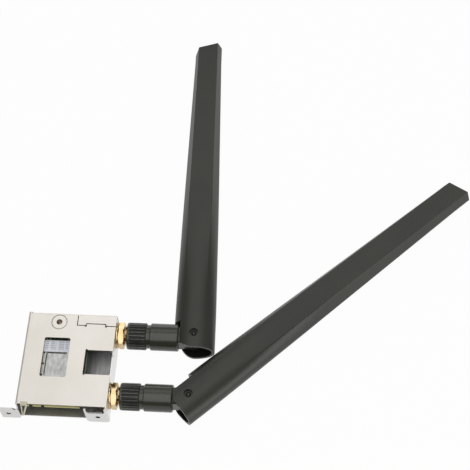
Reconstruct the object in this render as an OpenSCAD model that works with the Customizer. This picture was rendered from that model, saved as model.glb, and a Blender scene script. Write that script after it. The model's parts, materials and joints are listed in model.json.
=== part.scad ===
// Wireless card module: a folded sheet-metal cage that holds a 22 x 30 mm edge card,
// with two bulkhead coaxial jacks and two fold-and-swivel paddle antennas.
// Frame: origin at the middle of the cage's underside, +X along the jacks,
// +Y away from the card's edge contacts, +Z up. Millimetres.

/* [Cage] */
// Width of the cage, across the jack wall
cage_w = 30.8; // [28:0.1:36]
// Depth of the cage, from the open front to the back wall
cage_d = 34; // [32:0.1:40]
// Height of the cage over both sheets
cage_h = 10.8; // [9.8:0.1:14]
// Thickness of the sheet metal
sheet_t = 0.5; // [0.4:0.05:0.7]
// Outer radius of every fold
fold_r = 0.8; // [0.75:0.05:1.2]

/* [Cover openings] */
// Left edge of the card window, from the cage's left side
window_x = 6.9; // [5:0.1:8]
// Width of the card window
window_w = 8.9; // [6:0.1:10]
// Front edge of the card window, from the open front
window_y = 10.1; // [8:0.1:12]
// Depth of the card window
window_d = 14.5; // [10:0.1:16]
// Corner radius of the card window
window_r = 0.7; // [0.3:0.1:1.5]
// Width of the side notch, measured in from the jack wall
notch_w = 8.8; // [6:0.1:8.8]
// Front edge of the side notch, from the open front
notch_y = 11.5; // [10:0.1:12.5]
// Depth of the side notch
notch_d = 8.9; // [6:0.1:10]
// Height of the lip that is bent down along the notch
lip_h = 2.2; // [1.2:0.1:2.2]
// Radius of the relief holes at the notch's corners
relief_r = 0.35; // [0.2:0.05:0.5]

/* [Corner flap] */
// Width of the flap that folds over the back corner
flap_w = 13.2; // [10:0.1:14]
// Length of the flap, from the back
flap_d = 4.3; // [3.2:0.1:5]
// Width of the cover's tab that enters the flap
tab_w = 7; // [4:0.1:7.4]
// Length of that tab past the flap's edge
tab_d = 0.7; // [0.4:0.1:1]
// Seam between the flap and the cover
seam = 0.3; // [0.1:0.05:0.35]
// Gap between the right wall's top edge and the cover
wall_gap = 0.3; // [0.1:0.05:0.5]

/* [Mounting ears] */
// Middle between the two ear holes, from the cage's middle
ear_mid = -3.3; // [-3.4:0.05:-3]
// Distance of the ears' front face ahead of the floor
ear_fwd = 1.1; // [0.6:0.1:1.5]
// Length of the left ear, outside the cage
ear_left_w = 5.8; // [4.8:0.1:8]
// Height of the left ear
ear_left_h = 8.1; // [6:0.1:9]
// Length of the right ear, across the front opening
ear_right_w = 7.6; // [7:0.1:9]
// Height of the right ear's side horns
ear_right_h = 10.3; // [8.6:0.1:10.3]
// Depth of the notch in the right ear's top
ear_notch_d = 3; // [1:0.1:3.2]
// Height of the ear holes over the underside
ear_hole_z = 4.2; // [2.5:0.1:5]
// Distance between the two ear holes
ear_hole_gap = 30.4; // [29.8:0.1:30.8]
// Diameter of the ear holes
ear_hole_d = 1.6; // [1.4:0.1:2.6]

/* [Card] */
// Width of the card
card_w = 21.9; // [20.2:0.05:22]
// Length of the card from the edge contacts to the hold-down point
card_l = 30; // [30:0.1:31]
// Thickness of the card
card_t = 0.8; // [0.6:0.05:1]
// Middle of the card, from the cage's left side
card_x = 11.5; // [11.5:0.05:12]
// Distance of the card's rear edge from the cage's back
card_recess = 3.5; // [3.3:0.1:4.5]
// Gap between the card and the cover
card_gap = 2.2; // [1.9:0.05:2.6]
// Width of the contact tongue
tongue_w = 19.85; // [18:0.05:20]
// Length of the contact tongue
tongue_l = 4; // [3.6:0.1:4.5]
// Width of the key notches
key_w = 1.2; // [1:0.05:1.3]
// Depth of the key notches
key_d = 3.5; // [2.6:0.1:3.5]
// First key notch, left of the card's middle
key_a = 6.625; // [6.425:0.025:6.825]
// Second key notch, left of the card's middle
key_e = 2.625; // [2.425:0.025:2.825]
// Pitch of the edge contacts
contact_pitch = 0.5; // [0.5:0.05:0.8]
// Radius of the hold-down notch at the card's rear
hold_r = 1.75; // [1.7:0.05:2]

/* [Shield can] */
// Width of the shield can
can_w = 19.6; // [17:0.1:19.8]
// Front edge of the can, from the contact edge
can_y = 5; // [4.6:0.1:6]
// Length of the can
can_l = 18.7; // [17:0.1:18.8]
// Height of the can
can_h = 1.4; // [1.25:0.05:1.5]
// Wall of the can
can_t = 0.2; // [0.15:0.05:0.25]
// Depth of the field pressed into the can
field_h = 0.3; // [0.1:0.05:0.3]
// Radius of the holes beside the pressed field
vent_r = 0.35; // [0.2:0.05:0.4]
// Pitch of those holes
vent_pitch = 4.15; // [3:0.05:4.2]

/* [Clinch nut] */
// Sideways offset of the clinch nut from the card's middle
nut_shift = -0.4; // [-0.4:0.05:0]
// Diameter of the knurled rim
clinch_d = 5.5; // [5:0.1:6]
// Diameter of the shank below the cover
shank_d = 4.3; // [4:0.1:4.8]
// Diameter of the through hole
clinch_hole_d = 2; // [1.8:0.1:2.2]
// Number of knurls on the rim
clinch_knurls = 30; // [20:1:36]

/* [Jacks] */
// Distance of the rear jack from the cage's back
jack_rear_y = 5.2; // [5:0.1:5.8]
// Distance between the two jacks
jack_gap = 22.5; // [22.5:0.1:23]
// Diameter of the jack thread
thread_d = 6.3; // [6.1:0.05:6.4]
// Length of the thread outside the wall
thread_l = 8.4; // [8:0.1:9]
// Flat on the thread, from its axis
thread_flat = 2.85; // [2.7:0.05:3]
// Diameter of the flange inside the wall
flange_d = 8; // [7.4:0.1:8.4]
// Thickness of the flange
flange_t = 1.6; // [1.2:0.1:2]
// Diameter of the solder tail
tail_d = 3.6; // [3.2:0.1:4]
// Length of the solder tail
tail_l = 2.8; // [2:0.1:3.2]
// Thickness of the lock washer
washer_t = 0.6; // [0.4:0.05:0.7]
// Diameter of the lock washer
washer_d = 9; // [8.4:0.1:9.2]
// Width of the hex nut across its flats
nut_af = 8; // [7.8:0.1:8.4]
// Thickness of the hex nut
nut_t = 2.1; // [1.6:0.1:2.2]

/* [Antenna connector] */
// Front face of the coupling nut, from the jack wall
coupling_x = 3.6; // [3.3:0.1:3.8]
// Length of the coupling nut
coupling_l = 6.6; // [6.4:0.1:7.4]
// Diameter of the coupling nut
coupling_d = 9.3; // [9:0.1:9.8]
// Number of ribs on the coupling nut
rib_n = 24; // [16:1:30]
// Depth of the grooves between the ribs
rib_h = 0.3; // [0.15:0.05:0.4]
// Diameter of the coaxial insulators
insulator_d = 4.1; // [3.8:0.05:4.15]
// Diameter of the plug body where the antenna turns on it
neck_core_d = 5.1; // [4.9:0.05:5.3]
// Diameter of the centre conductors
core_d = 1.27; // [1.2:0.01:1.4]
// Diameter of the contact pin
pin_tip_d = 0.92; // [0.8:0.02:0.94]

/* [Barrel] */
// Diameter of the barrel
barrel_d = 9.4; // [9:0.1:9.8]
// Diameter of the barrel's neck
neck_d = 8.2; // [7.6:0.1:8.6]
// Length of the neck
neck_l = 1.3; // [1:0.1:1.6]
// Hinge axis, from the jack wall
hinge_x = 26.8; // [26.6:0.05:28]
// Thickness of the hinge tongue
tongue_t = 6.2; // [5.4:0.1:6.2]
// Width of the hinge tongue
tongue_across = 6; // [5.8:0.1:6.4]
// Diameter to which the tongue's corners are turned down
tongue_round = 8; // [7.6:0.1:9]
// Diameter of the hinge pin
pin_d = 1.8; // [1.6:0.1:2]
// Diameter of the inner leads
lead_d = 1.0; // [0.8:0.05:1.1]

/* [Paddle] */
// Length of the paddle beyond the hinge axis
paddle_l = 125.9; // [90:0.1:160]
// Width of the paddle at the hinge
base_w = 14.2; // [13.6:0.1:14.6]
// Thickness of the paddle at the hinge; its underside lies level with the cage's
base_t = 10.5; // [10:0.1:10.8]
// Width of the paddle at the tip
tip_w = 10.1; // [9.4:0.1:12]
// Thickness of the paddle at the tip
tip_t = 7; // [6.4:0.1:9]
// Wall of the paddle
wall = 1; // [0.8:0.05:1]
// Slant of the tip, longer on the side away from the slot
tip_slant = 3.2; // [0:0.1:4]
// Width of the bevels where the flat faces begin
bevel_w = 2.2; // [1.4:0.1:2.6]
// Width of the bevels at the tip
bevel_tip_w = 1.4; // [1:0.1:2]
// Thickness of the narrow side between two bevels
side_t = 0.6; // [0.4:0.1:1.2]
// Fold of the rear antenna from straight, in degrees
fold_rear = 92; // [60:0.1:92]
// Fold of the front antenna from straight, in degrees
fold_front = 43.1; // [0:0.1:44]

/* [Hidden] */
$fn = 64;
eps = 0.01;
over = 1;

// Clearances
fit = 0.01;
run_fit = 0.05;
slide_fit = 0.1;
free_gap = 0.2;

// Cage levels and edges
half_w = cage_w / 2;
half_d = cage_d / 2;
floor_top = sheet_t;
plate_low = cage_h - sheet_t;
flap_x = half_w - flap_w;
flap_y = half_d - flap_d;
seam_x = flap_x - seam;
tab_off = -0.3;
tab_x = flap_x + (flap_w - tab_w) / 2 + tab_off;
notch_x = half_w - notch_w;
ear_y = -half_d - ear_fwd;
ear_chamfer = 0.9;
horn_w = 0.7;

// Card levels and edges
card_cx = card_x - half_w;
card_rear = half_d - card_recess;
card_front = card_rear - card_l;
card_top = plate_low - card_gap;
card_low = card_top - card_t;
nut_x = card_cx + nut_shift;
pad_w = 0.35;
pad_l = 2.2;
pad_t = 0.05;
pad_inset = 0.3;

// Shield can: the pressed field ends where the label starts
can_top = card_top + can_h;
can_left = card_cx - can_w / 2;
can_front = card_front + can_y;
can_rear = can_front + can_l;
label_w = 17;
label_d = 4.2;
label_t = 0.08;
label_front = can_rear - label_d - free_gap;
field_in_x = 6.3;
field_in_y = 5.7;
field_w = 6.9;
field_x = can_left + field_in_x;
field_y = can_front + field_in_y;
field_d = label_front - free_gap - field_y;
chip_w = 8;
chip_h = 0.8;
chip_y = 4.675;
part_w = 0.5;
part_l = 1;
part_pitch = 1.2;
parts_left = -9.4;
parts_mid = -4.6;
parts_right = 3;
covered_first = -2.6;
covered_pitch = 1.3;

// Clinch nut and screw
knurl_r = 0.2;
screw_reach = 0.9;
screw_head_d = 3.8;
screw_head_h = 1.2;
cross_w = 0.4;
cross_l = 1.8;

// Ground clip, from the cage's left side and the open front
clip_x = 1.9;
clip_w = 2.4;
clip_t = 0.25;
clip_in = 0.4;
clip_lean = 1.2;
clip_foot = 0.7;
leg_t = 0.5;

// Card receptacles and the caps that clip over them
receptacle_out = 7.2;
receptacle_back = 2.65;
plug_reach = 1.5;
plug_r = 1.1;
plug_h = 1;
plug_neck = 1.3;
receptacle_w = 2;
receptacle_r = 0.7;
receptacle_wall = 0.2;
receptacle_t = 0.25;
receptacle_h = 0.55;

// Jacks: the paddles' undersides lie level with the cage's
axis_z = base_t / 2;
rear_y = half_d - jack_rear_y;
front_y = rear_y - jack_gap;
jack_in = -sheet_t - flange_t;
tail_end = jack_in - tail_l;
bore_step = 0.4;
bore_x = jack_in + bore_step;
mouth_l = 1.9;
mouth_x = thread_l - mouth_l;
mouth_r = 2.33;
sleeve_t = 0.7;
sleeve_l = 4.2;
sleeve_end = jack_in - sleeve_l - free_gap;
tail_bore_r = 1.3;
washer_teeth = 12;
washer_slot = 0.6;
nut_chamfer = 0.35;
nut_corner_r = nut_af / 2 / cos(30);

// Plug and coupling nut
nose_r = mouth_r - run_fit;
plug_bore_r = 2;
shoulder_t = 0.5;
ring_t = 0.4;
ring_groove = 0.25;
ring_x = thread_l + shoulder_t + run_fit;
ring_end = ring_x + ring_t;
coupling_end = coupling_x + coupling_l;
coupling_rim = 0.9;
rib_gap = 0.56;
plug_end = 17.8;
contact_end = 17;

// Barrel, from the coupling nut to the hinge tongue
barrel_x = coupling_end + slide_fit;
shell_x = barrel_x + neck_l;
tongue_root = 5.45;
barrel_end = hinge_x - tongue_root;
barrel_edge = 0.3;
turn_r = 2.4;
turn_l = 2.7;
lead_off = -1.8;
lead_straight = 0.9;
lead_bend = 3.1;

// Hinge: the paddle's edges run round the axis just clear of the barrel's end
edge_r = tongue_root - free_gap;
slot_beyond = 0.5;
slot_end = barrel_d / 2 + slot_beyond;
boss_r = 2.6;
boss_rise = 0.4;
boss_z = tongue_t / 2 + boss_rise;
pin_recess = 0.35;
pin_end = base_t / 2 - pin_recess;
pin_dome_r = 1.2;
counterbore_r = 1.55;
counterbore_d = 0.9;
cheek_n = 4.85;

// Paddle section: an ellipse up to flat_from, flat faces with bevels from flat_full on
flat_from = 18;
flat_full = 60;
taper_from = 45;
base_ring = 10;
last_ring = 5;
tip_zone = 6;
waist = 0.5;
tip_wall = 8;
tip_step = 1.5;
tip_corner = 0.2;
tip_chamfer = 1.9;
tip_turn = 0.65;

// Radiator board and the leads inside the antenna
board_start = 9;
board_end = 14;
board_w = 7.6;
board_t = 0.8;
lead_core_d = lead_d - slide_fit;
lead_z = board_t / 2 + lead_d / 2;
lead_side = -1.2;
lead_reach = 22;
lead_step = 1;
lead_gap = 0.8;

pigtail_rear_route = [[3.3, 12.35, 8.9], [3.3, 14.0, 8.7], [3.5, 15.15, 7.4], [4.2, 15.3, 6.2],
    [5.2, 14.3, 5.6], [6.3, 12.6, 5.3], [7.6, 11.8, 5.25], [8.7, 11.8, 5.25], [9.9, 11.8, 5.25]];
pigtail_front_route = [[-11.1, 12.35, 8.9], [-11.1, 14.0, 8.7], [-10.9, 15.15, 7.4],
    [-10, 15.3, 5.8], [-8, 15.2, 4.6], [-5, 14.9, 4.2], [-1, 13.8, 4.2], [2.2, 11.8, 4.2],
    [4.4, 8.6, 4.2], [5.0, 4.5, 4.2], [5.0, 0, 4.2], [5.0, -4, 4.3], [5.3, -7.2, 4.6],
    [6.1, -9.4, 5.0], [7.5, -10.7, 5.25], [8.7, -10.7, 5.25], [9.9, -10.7, 5.25]];

steel = [0.86, 0.84, 0.81];
gold = [0.88, 0.74, 0.42];
brass = [0.78, 0.62, 0.33];
laminate = [0.30, 0.32, 0.14];
copper_board = [0.75, 0.68, 0.40];
ceramic = [0.55, 0.45, 0.35];
paper = [0.90, 0.90, 0.94];
black = [0.13, 0.13, 0.12];
pale = [0.85, 0.85, 0.85];
white = [0.93, 0.93, 0.90];

// 2D fold: a flat leg along +X under y = 0 and a leg along -Y beside x = 0
module fold_outline(flat, drop) {
    difference() {
        union() {
            translate([fold_r, -fold_r]) circle(fold_r);
            translate([fold_r, -sheet_t]) square([flat - fold_r, sheet_t]);
            translate([0, -drop]) square([sheet_t, drop - fold_r]);
        }
        translate([fold_r, -fold_r]) circle(fold_r - sheet_t);
        translate([fold_r, -drop - over]) square([flat + over, drop + over - sheet_t]);
        translate([sheet_t, -drop - over]) square([flat + over, drop + over - fold_r]);
    }
}

// A folded strip that runs along +Y: flat leg to +X, other leg down
module fold_down(flat, drop, run) {
    translate([0, run, 0]) rotate([90, 0, 0]) linear_extrude(run) fold_outline(flat, drop);
}

// A folded strip that runs along +Y: flat leg to -X, other leg up
module fold_up(flat, rise, run) {
    translate([0, run, 0]) rotate([90, 0, 0]) linear_extrude(run)
        rotate(180) fold_outline(flat, rise);
}

// An upright plate in the XZ plane, cut to an outline, that starts at y and runs back
module upright(y, run) {
    translate([0, y + run, 0]) rotate([90, 0, 0]) linear_extrude(run) children();
}

// Plan outline with rounded corners
module round_rect(x, y, w, d, r) {
    for (i = [0, 1], j = [0, 1])
        translate([x + r + i * (w - 2 * r), y + r + j * (d - 2 * r)]) circle(r);
    translate([x + r, y]) square([w - 2 * r, d]);
    translate([x, y + r]) square([w, d - 2 * r]);
}

// Cuts the top plate, from below it to above it
module through_plate() {
    translate([0, 0, plate_low - over]) linear_extrude(sheet_t + 2 * over) children();
}

module ear_hole(side) {
    translate([ear_mid + side * ear_hole_gap / 2, ear_y + sheet_t + over, ear_hole_z])
        rotate([90, 0, 0]) cylinder(d = ear_hole_d, h = sheet_t + 2 * over);
}

// Left ear: bent outwards from the cover's left wall, with a sloping step near the cage
module left_ear() {
    inner = -half_w + sheet_t;
    outer = -half_w - ear_left_w;
    intersection() {
        translate([inner, ear_y, floor_top])
            linear_extrude(ear_left_h) rotate(180) fold_outline(inner - outer, ear_fwd + over);
        upright(ear_y - over, ear_fwd + 3 * over) polygon([
            [outer, floor_top],
            [inner, floor_top],
            [inner, ear_left_h - ear_chamfer],
            [-half_w - ear_chamfer / 4, ear_left_h - ear_chamfer],
            [-half_w - ear_chamfer * 1.25, ear_left_h],
            [outer, ear_left_h]]);
    }
}

// Right ear: bent inwards from the tray's right wall, with a notch in its top
module right_ear() {
    left = half_w - ear_right_w;
    low = ear_right_h - ear_notch_d;
    intersection() {
        translate([half_w, ear_y, 0])
            linear_extrude(ear_right_h) rotate(180) fold_outline(ear_right_w, ear_fwd + over);
        upright(ear_y - over, ear_fwd + 3 * over) polygon([
            [left, ear_chamfer], [left + ear_chamfer, 0],
            [half_w, 0], [half_w, ear_right_h], [half_w - fold_r, ear_right_h],
            [half_w - fold_r, low + ear_chamfer], [half_w - fold_r - ear_chamfer, low],
            [left + horn_w + ear_chamfer, low], [left + horn_w, low + ear_chamfer],
            [left + horn_w, ear_right_h], [left, ear_right_h]]);
    }
}

// Cover: top plate, left wall, back wall, notch lip, flap tab and left ear from one sheet
module cover() {
    color(steel) difference() {
        union() {
            translate([-half_w, -half_d, cage_h])
                fold_down(fold_r + eps, cage_h - floor_top, cage_d);
            difference() {
                translate([-half_w + fold_r, -half_d, plate_low])
                    cube([cage_w - fold_r, cage_d - fold_r, sheet_t]);
                through_plate() translate([seam_x, flap_y - seam])
                    square([flap_w + seam + over, flap_d + seam + over]);
                through_plate() translate([notch_x - fold_r, -half_d + notch_y])
                    square([notch_w + fold_r + over, notch_d]);
            }
            translate([-half_w + fold_r, half_d, cage_h]) rotate(-90)
                fold_down(fold_r + eps, cage_h - floor_top, seam_x + half_w - fold_r);
            translate([tab_x + seam, flap_y - seam - eps, plate_low])
                cube([tab_w - 2 * seam, tab_d + eps, sheet_t]);
            translate([notch_x, -half_d + notch_y, cage_h]) mirror([1, 0, 0])
                fold_down(fold_r + eps, lip_h, notch_d);
            left_ear();
        }
        through_plate() {
            round_rect(-half_w + window_x, -half_d + window_y, window_w, window_d, window_r);
            for (y = [notch_y, notch_y + notch_d])
                translate([notch_x - relief_r / 2, -half_d + y]) circle(relief_r);
            for (x = [tab_x, tab_x + tab_w]) translate([x, flap_y - seam]) circle(relief_r);
            translate([nut_x, card_rear]) circle(d = clinch_d + 2 * fit);
        }
        ear_hole(-1);
    }
}

// Tray: floor, right wall, back corner with its flap, and right ear from one sheet
module tray() {
    color(steel) difference() {
        union() {
            translate([half_w, -half_d, 0])
                fold_up(fold_r + eps, plate_low - wall_gap, cage_d - fold_r);
            translate([-half_w, -half_d, 0])
                cube([cage_w - fold_r, cage_d - fold_r, sheet_t]);
            translate([-half_w, half_d - fold_r - eps, 0])
                cube([cage_w - flap_w, fold_r + eps, sheet_t]);
            translate([flap_x, half_d, 0]) rotate(-90) mirror([1, 0, 0])
                fold_up(fold_r + eps, cage_h - fold_r, flap_w);
            translate([flap_x, half_d, cage_h]) rotate(-90)
                fold_down(fold_r + eps, cage_h - fold_r, flap_w);
            difference() {
                translate([flap_x, flap_y, plate_low])
                    cube([flap_w, flap_d - fold_r, sheet_t]);
                through_plate() translate([tab_x, flap_y - over]) square([tab_w, tab_d + over]);
            }
            right_ear();
        }
        translate([half_w - sheet_t - over, -half_d + notch_y, cage_h - lip_h])
            cube([sheet_t + 2 * over, notch_d, lip_h + over]);
        for (y = [rear_y, front_y])
            translate([half_w - sheet_t - over, y, axis_z]) rotate([0, 90, 0]) jack_hole();
        ear_hole(1);
    }
}

// Hole with a flat, a clearance wider than the thread
module jack_hole() {
    intersection() {
        cylinder(d = thread_d + 2 * run_fit, h = sheet_t + 2 * over);
        translate([-thread_flat - run_fit, -thread_d, 0])
            cube([thread_d * 2, thread_d * 2, sheet_t + 2 * over]);
    }
}

// Clinch nut: knurled rim in the cover, shank down to the card, hole right through
module clinch_nut() {
    color(steel) translate([nut_x, card_rear, 0]) difference() {
        union() {
            translate([0, 0, plate_low]) cylinder(d = clinch_d, h = sheet_t);
            translate([0, 0, card_top]) cylinder(d = shank_d, h = card_gap + eps);
        }
        translate([0, 0, card_top - over])
            cylinder(d = clinch_hole_d, h = card_gap + sheet_t + 2 * over);
        for (i = [0 : clinch_knurls - 1]) rotate(i * 360 / clinch_knurls)
            translate([clinch_d / 2, 0, plate_low + sheet_t / 2])
                cylinder(r = knurl_r, h = sheet_t, $fn = 16);
    }
}

// Screw that holds the card's rear up against the clinch nut
module card_screw() {
    color(steel) translate([nut_x, card_rear, 0]) difference() {
        union() {
            translate([0, 0, card_low - screw_head_h]) cylinder(d = screw_head_d, h = screw_head_h);
            translate([0, 0, card_low - eps])
                cylinder(d = clinch_hole_d - 2 * fit, h = card_t + screw_reach);
        }
        for (a = [0, 90]) rotate(a)
            translate([-cross_l / 2, -cross_w / 2, card_low - screw_head_h - over])
                cube([cross_l, cross_w, screw_head_h / 2 + over]);
    }
}

// Clip hooked over the cover's front edge, with two legs that meet in a V on the floor
module ground_spring() {
    left = -half_w + clip_x;
    right = left + clip_w;
    foot = left - clip_lean;
    low = floor_top;
    high = plate_low - fit;
    front = -half_d - clip_t;
    color(steel) union() {
        upright(front, clip_t + clip_in) polygon([
            [foot, low], [foot + clip_foot, low], [right, high], [right - 1.3 * leg_t, high],
            [foot + 0.6 * clip_foot, low + 1.6 * leg_t], [left + leg_t, high], [left, high]]);
        translate([left, front, high - leg_t]) cube([clip_w, clip_t - fit, leg_t + sheet_t + clip_t]);
        translate([left, front, cage_h + fit]) cube([clip_w, 2 * clip_t + clip_in, clip_t - 2 * fit]);
    }
}

module key_notch(offset) {
    x = card_cx - offset;
    translate([x - key_w / 2, card_front - over]) square([key_w, key_d + over - key_w / 2]);
    translate([x, card_front + key_d - key_w / 2]) circle(d = key_w);
}

// Card: contact tongue with two key notches, and a half-round notch for the screw
module card_board() {
    color(laminate) translate([0, 0, card_low]) linear_extrude(card_t) difference() {
        union() {
            translate([card_cx - tongue_w / 2, card_front]) square([tongue_w, tongue_l + over]);
            translate([card_cx - card_w / 2, card_front + tongue_l])
                square([card_w, card_l - tongue_l]);
        }
        key_notch(key_a);
        key_notch(key_e);
        translate([card_cx, card_rear]) circle(hold_r);
    }
}

// Contact pads on both faces of the tongue, left out at the key notches
module edge_contacts() {
    count = floor((tongue_w - 2 * pad_inset - pad_w) / contact_pitch) + 1;
    first = -contact_pitch * (count - 1) / 2;
    clear = pad_w / 2 + key_w / 2 + slide_fit;
    color(gold) for (i = [0 : count - 1], z = [card_top, card_low - pad_t]) {
        x = first + i * contact_pitch;
        if (abs(x + key_a) > clear && abs(x + key_e) > clear)
            translate([card_cx + x - pad_w / 2, card_front + pad_inset, z])
                cube([pad_w, pad_l, pad_t]);
    }
}

// Shield can: a thin lid with a pressed field and a row of holes beside it
module shield_can() {
    color(steel) difference() {
        translate([can_left, can_front, card_top]) cube([can_w, can_l, can_h]);
        difference() {
            translate([can_left + can_t, can_front + can_t, card_top - over])
                cube([can_w - 2 * can_t, can_l - 2 * can_t, can_h - can_t + over]);
            pressed_field(can_t, can_h);
        }
        pressed_field(0, field_h);
        for (i = [0 : 2])
            translate([field_x - vent_r - free_gap - can_t, field_y + i * vent_pitch, card_top])
                cylinder(r = vent_r, h = can_h + over);
    }
}

// The field's outline, grown by a margin, from field_h below the can's top upwards
module pressed_field(margin, height) {
    translate([0, 0, can_top - field_h - margin]) linear_extrude(height + over)
        round_rect(field_x - margin, field_y - margin, field_w + 2 * margin, field_d + 2 * margin,
            window_r + margin);
}

module radio_chip() {
    color(black) translate([card_cx - chip_w / 2, can_front + chip_y, card_top])
        cube([chip_w, chip_w, chip_h]);
}

module card_label() {
    color(paper) translate([card_cx - label_w / 2, label_front, can_top])
        cube([label_w, label_d, label_t]);
}

// Small parts behind the shield can and under it
module card_parts() {
    behind = can_rear + part_w;
    under = can_rear - label_d;
    color(ceramic) for (x = [parts_left, parts_mid, parts_mid + part_pitch, parts_right,
        parts_right + part_pitch, parts_right + 2 * part_pitch])
        translate([card_cx + x, behind, card_top]) cube([part_w, part_l, part_w]);
    color(ceramic) for (i = [0 : 5])
        translate([card_cx + covered_first + i * covered_pitch, under, card_top])
            cube([part_w, part_l, part_w]);
}

// Coaxial receptacle on the card; side is 1 for the rear jack's, -1 for the front jack's
module receptacle(side) {
    color(gold) translate([card_cx + side * receptacle_out, card_rear - receptacle_back, card_top])
    difference() {
        union() {
            translate([-receptacle_w / 2, -receptacle_w / 2, 0])
                cube([receptacle_w, receptacle_w, receptacle_t]);
            cylinder(r = receptacle_r, h = receptacle_h);
        }
        translate([0, 0, receptacle_t]) cylinder(r = receptacle_r - receptacle_wall, h = over);
    }
}

// Cap that clips over the receptacle, with a crimped neck towards the lead
module pigtail_plug(side) {
    color(gold) translate([card_cx + side * receptacle_out, card_rear - receptacle_back,
        card_top + receptacle_t + run_fit])
        difference() {
            union() {
                cylinder(r = plug_r, h = plug_h);
                translate([-plug_neck / 2, 0, 0]) cube([plug_neck, plug_reach, plug_h]);
            }
            translate([0, 0, -over])
                cylinder(r = receptacle_r + fit, h = receptacle_h - receptacle_t + over);
        }
}

// Faces of a closed skin over rings of n points each; the two points that follow the
// rings are the middles of its end caps
function skin_faces(rings, n) = let (last = (rings - 1) * n, middle = rings * n) concat(
    [for (k = [0 : n - 1]) [middle, k, (k + 1) % n]],
    [for (i = [0 : rings - 2], k = [0 : n - 1]) let (a = i * n + k, b = i * n + (k + 1) % n)
        [a, a + n, b + n]],
    [for (i = [0 : rings - 2], k = [0 : n - 1]) let (a = i * n + k, b = i * n + (k + 1) % n)
        [a, b + n, b]],
    [for (k = [0 : n - 1]) [middle + 1, last + (k + 1) % n, last + k]]);

// Swept tube with eight sides along a smooth curve through a route's points
tube_sides = 8;
tube_steps = 2;
function unit(v) = v / norm(v);
function bend_point(p, i, t) = let (a = p[max(i - 1, 0)], b = p[i], c = p[i + 1],
    d = p[min(i + 2, len(p) - 1)])
    0.5 * ((2 * b) + (c - a) * t + (2 * a - 5 * b + 4 * c - d) * t * t
    + (3 * b - a - 3 * c + d) * t * t * t);
function smooth_route(p) = concat([for (i = [0 : len(p) - 2], k = [0 : tube_steps - 1])
    bend_point(p, i, k / tube_steps)], [p[len(p) - 1]]);
function route_dir(q, i) = unit(q[min(i + 1, len(q) - 1)] - q[max(i - 1, 0)]);
// A direction across the tube; near-vertical stretches take it from X instead
function across(t) = unit(cross(t, abs(t[2]) > 0.9 ? [1, 0, 0] : [0.13, 0.21, 0.97]));
module swept_tube(route, d) {
    q = smooth_route(route);
    n = tube_sides;
    points = [for (i = [0 : len(q) - 1]) let (t = route_dir(q, i), u = across(t), v = cross(t, u))
        for (k = [0 : n - 1]) q[i] + d / 2 * (cos(k * 360 / n) * u + sin(k * 360 / n) * v)];
    polyhedron(concat(points, [q[0], q[len(q) - 1]]), skin_faces(len(q), n));
}

module pigtail(route) {
    color(black) swept_tube(route, lead_d);
}

// Jack and antenna parts lie along +X from the jack wall's outer face
module on_wall(y) {
    translate([half_w, y, axis_z]) children();
}
module along(x0, x1, r) {
    translate([x0, 0, 0]) rotate([0, 90, 0]) cylinder(r = r, h = x1 - x0);
}

// Jack: flange inside the wall, flat-sided thread through it, solder tail behind
module jack() {
    color(gold) difference() {
        union() {
            along(jack_in, -sheet_t, flange_d / 2);
            intersection() {
                along(-sheet_t - eps, thread_l, thread_d / 2);
                translate([-sheet_t - over, -thread_d, -thread_d])
                    cube([thread_l + 3 * over, thread_d * 2, thread_d + thread_flat]);
            }
            along(tail_end, jack_in + eps, tail_d / 2);
        }
        along(bore_x, thread_l + over, insulator_d / 2 + fit);
        along(tail_end - over, bore_x + eps, tail_bore_r + fit);
        along(mouth_x, thread_l + over, mouth_r);
    }
}

module jack_insulator() {
    color(white) difference() {
        union() {
            along(bore_x + fit, mouth_x, insulator_d / 2 - fit);
            along(tail_end + free_gap, bore_x + 2 * fit, tail_bore_r - fit);
        }
        along(tail_end - over, thread_l + over, core_d / 2 + fit);
    }
}

module jack_pin() {
    color(gold) union() {
        along(tail_end, mouth_x, core_d / 2);
        along(mouth_x - eps, thread_l - 2 * free_gap, pin_tip_d / 2);
    }
}

// Sleeve over the solder tail and the end of the pigtail
module crimp_sleeve() {
    color(black) difference() {
        along(sleeve_end, jack_in - free_gap, tail_d / 2 + sleeve_t);
        along(tail_end - free_gap, jack_in + over, tail_d / 2 + fit);
        along(sleeve_end - over, tail_end, lead_d / 2 + fit);
    }
}

module lock_washer() {
    color(gold) rotate([0, 90, 0]) linear_extrude(washer_t) difference() {
        circle(d = washer_d);
        circle(d = thread_d + 2 * run_fit);
        for (i = [0 : washer_teeth - 1]) rotate(i * 360 / washer_teeth)
            translate([thread_d / 2, -washer_slot / 2]) square(washer_slot);
    }
}

// Hex nut with its corners turned off at both faces
module hex_nut() {
    flat_r = nut_af / 2;
    color(gold) translate([washer_t, 0, 0]) rotate([0, 90, 0]) difference() {
        intersection() {
            linear_extrude(nut_t) circle(r = nut_corner_r, $fn = 6);
            rotate_extrude() polygon([[0, 0], [flat_r, 0], [nut_corner_r, nut_chamfer],
                [nut_corner_r, nut_t - nut_chamfer], [flat_r, nut_t], [0, nut_t]]);
        }
        translate([0, 0, -over]) cylinder(d = thread_d + 2 * run_fit, h = nut_t + 2 * over);
    }
}

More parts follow.
